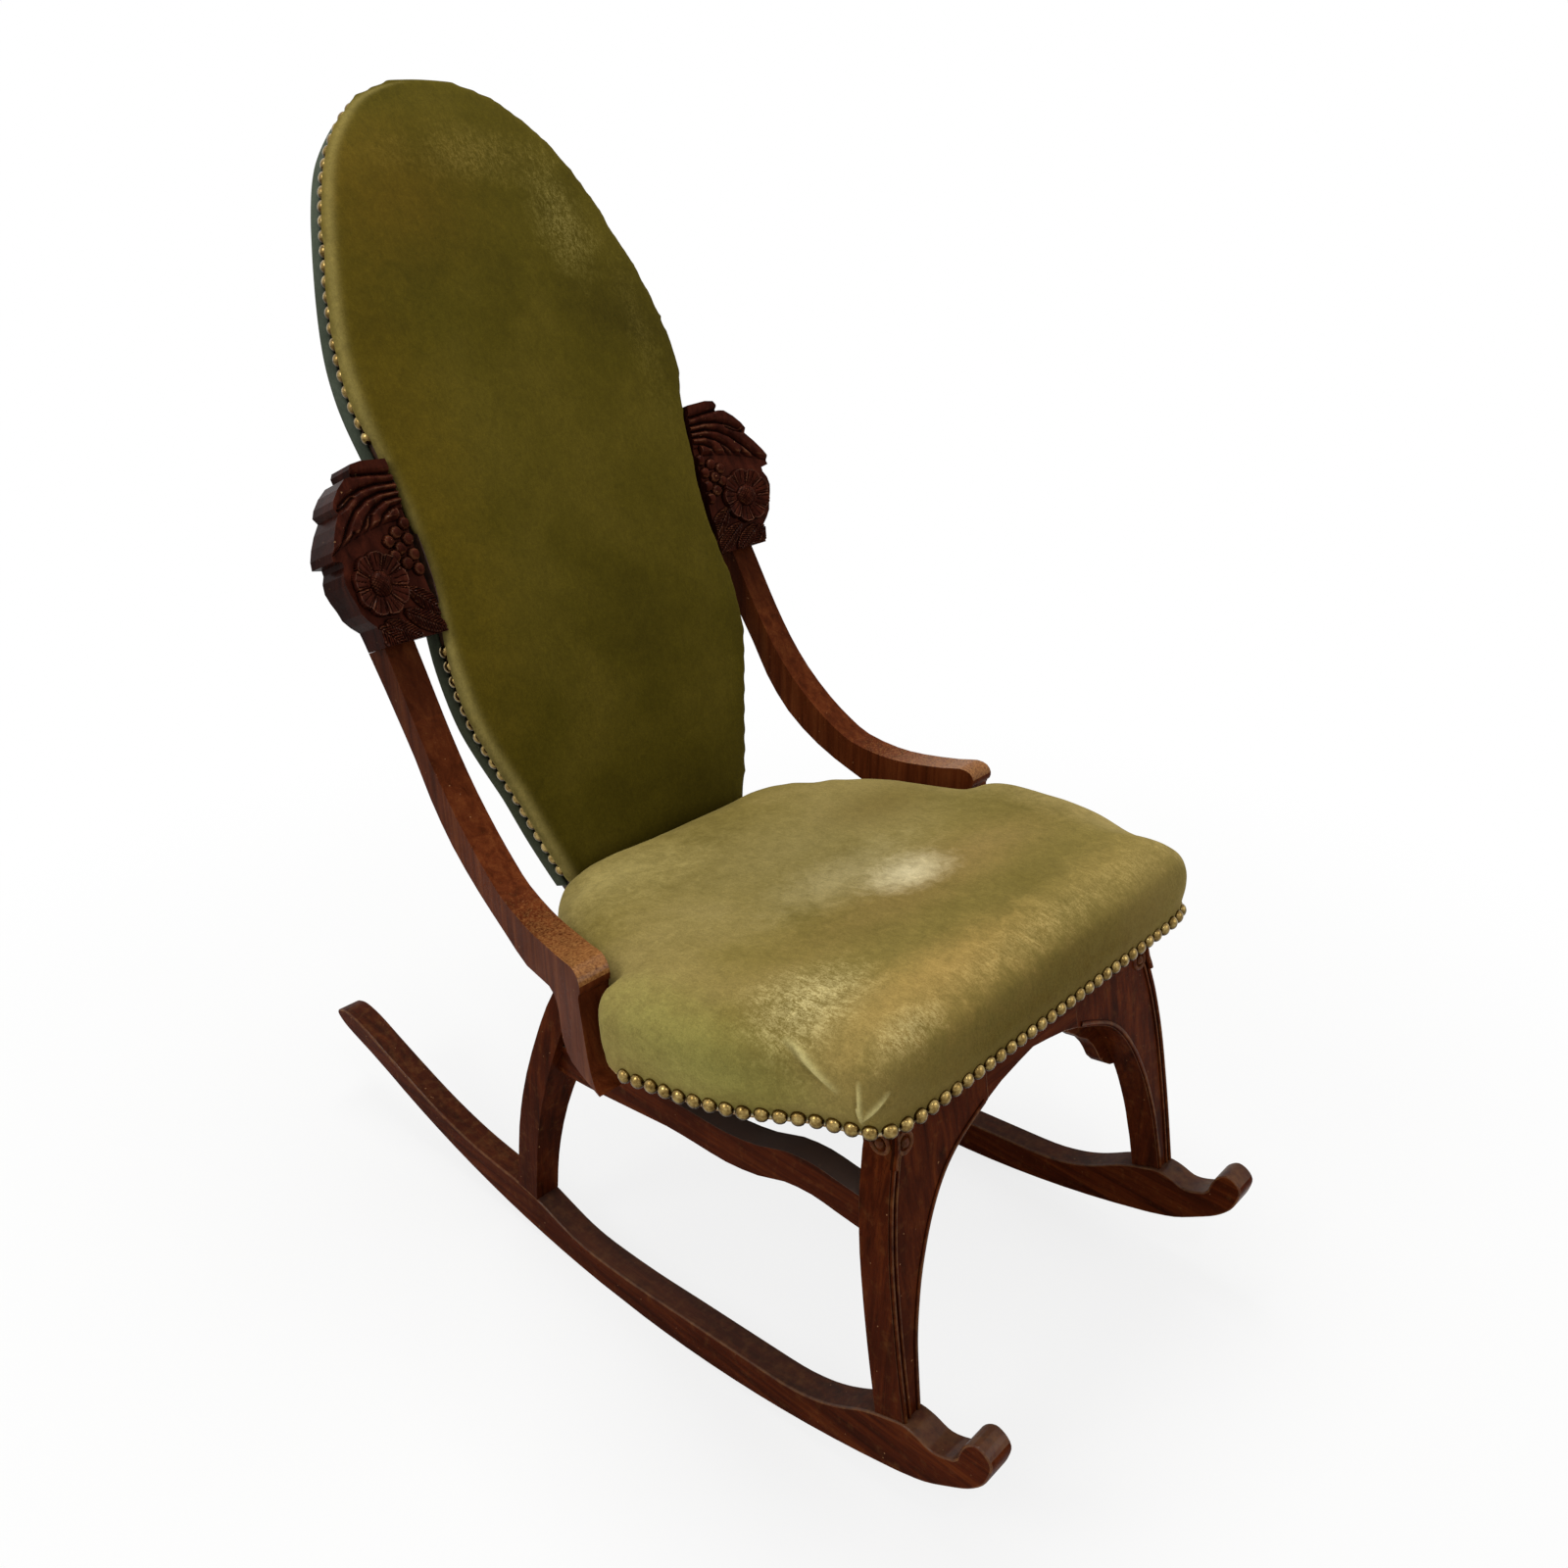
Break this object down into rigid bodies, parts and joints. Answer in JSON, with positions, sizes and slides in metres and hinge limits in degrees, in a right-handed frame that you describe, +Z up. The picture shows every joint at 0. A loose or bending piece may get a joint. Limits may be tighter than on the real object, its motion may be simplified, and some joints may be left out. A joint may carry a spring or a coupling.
{
  "type": "rocking chair",
  "caption": "Low upholstered rocking chair on bow rockers, with a tall arched velvet back, swept open arms and carved shoulder blocks.",
  "frame": {"origin": "middle of the floor space that the chair takes up, on the floor", "axes": "+Z up, -Y towards the front of the chair, +X towards the sitter's left hand"},
  "size_m": [0.529, 0.8427, 0.9873],
  "materials": {
    "mahogany": "french polished, glossy, worn",
    "carved_mahogany": "polished dark carving",
    "beech": "bare, sawn",
    "seat_velvet": "cut pile, worn",
    "back_velvet": "cut pile",
    "band_velvet": "cut pile",
    "linen": "coarse weave",
    "stuffing": "loose fibre",
    "black_cloth": "matt",
    "nail_brass": "antiqued, domed",
    "screw_steel": "bright"
  },
  "bodies": {
    "root": {"rocker_left": "mahogany", "rocker_right": "mahogany", "front_leg_left": "mahogany", "front_leg_right": "mahogany", "front_rail": "mahogany", "front_brackets": "mahogany", "rear_leg_left": "mahogany", "rear_leg_right": "mahogany", "rear_rail": "mahogany", "side_stretcher_left": "mahogany", "side_stretcher_right": "mahogany", "seat_rail_front": "beech", "seat_rail_back": "beech", "seat_rail_left": "beech", "seat_rail_right": "beech", "corner_blocks": "beech", "seat_webbing": "linen", "seat_hessian": "linen", "seat_stuffing": "stuffing", "seat_cover": "seat_velvet", "dust_cover": "black_cloth", "seat_nails": "nail_brass", "arm_left": "mahogany", "arm_right": "mahogany", "carved_block_left": "carved_mahogany", "carved_block_right": "carved_mahogany", "back_stile_left": "beech", "back_stile_right": "beech", "crest_rail": "beech", "back_mid_rail": "beech", "back_foot_rail": "beech", "back_webbing": "linen", "back_hessian": "linen", "back_stuffing": "stuffing", "back_cover": "back_velvet", "back_band": "band_velvet", "back_panel": "band_velvet", "back_nails": "nail_brass", "leg_dowels": "beech", "arm_dowels": "beech", "arm_screws": "screw_steel", "block_screws": "screw_steel", "back_screws": "screw_steel"}
  },
  "joints": []
}
